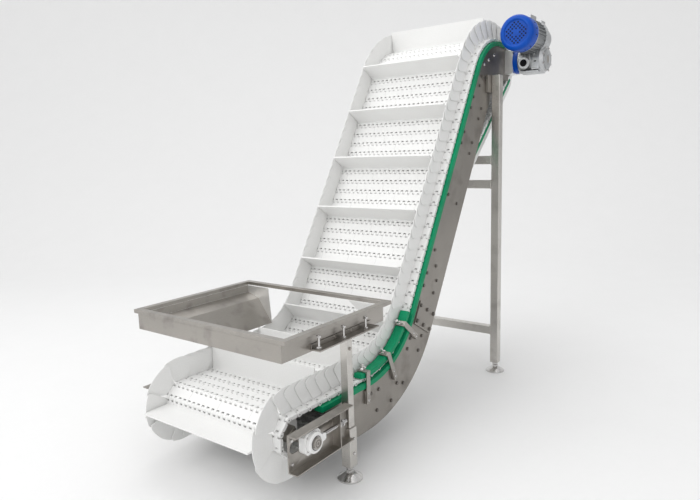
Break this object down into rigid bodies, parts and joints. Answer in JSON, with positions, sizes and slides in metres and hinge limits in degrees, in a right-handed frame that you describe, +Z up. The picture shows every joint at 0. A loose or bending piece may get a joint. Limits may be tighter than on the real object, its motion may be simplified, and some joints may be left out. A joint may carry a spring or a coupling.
{
  "type": "modular chain conveyor",
  "caption": "Swan-neck modular plastic belt conveyor with flights, side guards, hopper, steel frame on legs and a shaft-mounted gear motor.",
  "frame": {"origin": "centre of the sole of the near front foot, on the floor", "axes": "+X along the travel from the tail to the head, +Y across the conveyor to the far side, +Z up"},
  "size_m": [2.01, 0.928, 1.7278],
  "materials": {
    "belt_white": "satin moulded polypropylene",
    "guard_white": "satin moulded polypropylene",
    "wheel_white": "satin",
    "strip_green": "machined polyethylene",
    "stainless": "brushed",
    "stainless_dark": "brushed, in shade",
    "stainless_bright": "polished",
    "bearing_white": "moulded",
    "gear_alloy": "cast",
    "motor_grey": "painted",
    "motor_blue": "gloss paint"
  },
  "bodies": {
    "root": {"belt_infeed": "belt_white", "belt_incline": "belt_white", "belt_head": "belt_white", "belt_return": "belt_white", "flights": "belt_white", "guards_near": "guard_white", "guards_far": "guard_white", "tail_sprockets": "wheel_white", "head_sprockets": "wheel_white", "carry_strip_near": "strip_green", "carry_strip_far": "strip_green", "return_strips": "strip_green", "hold_down_shoes": "strip_green", "tail_shaft": "stainless", "head_shaft": "stainless", "lower_plate_near": "stainless", "lower_plate_far": "stainless", "incline_plate_near": "stainless", "incline_plate_far": "stainless", "splice_plates": "stainless", "takeup_frame_near": "stainless", "takeup_frame_far": "stainless", "hopper_rim": "stainless", "hopper_skirts": "stainless", "hopper_slopes": "stainless", "hopper_gussets": "stainless", "hopper_posts": "stainless", "front_legs": "stainless", "rear_legs": "stainless", "leg_crossbars": "stainless", "leg_brackets": "stainless", "cross_ties": "stainless", "head_plate_near": "stainless_dark", "head_plate_far": "stainless_dark", "shoe_clamps": "stainless_dark", "hopper_brackets": "stainless_dark", "feet": "stainless_bright", "takeup_screws": "stainless_bright", "head_bearings": "stainless_bright", "takeup_bearings": "bearing_white", "gearbox": "gear_alloy", "motor_body": "motor_grey", "motor_cowl": "motor_blue", "output_ring": "motor_blue"}
  },
  "joints": []
}
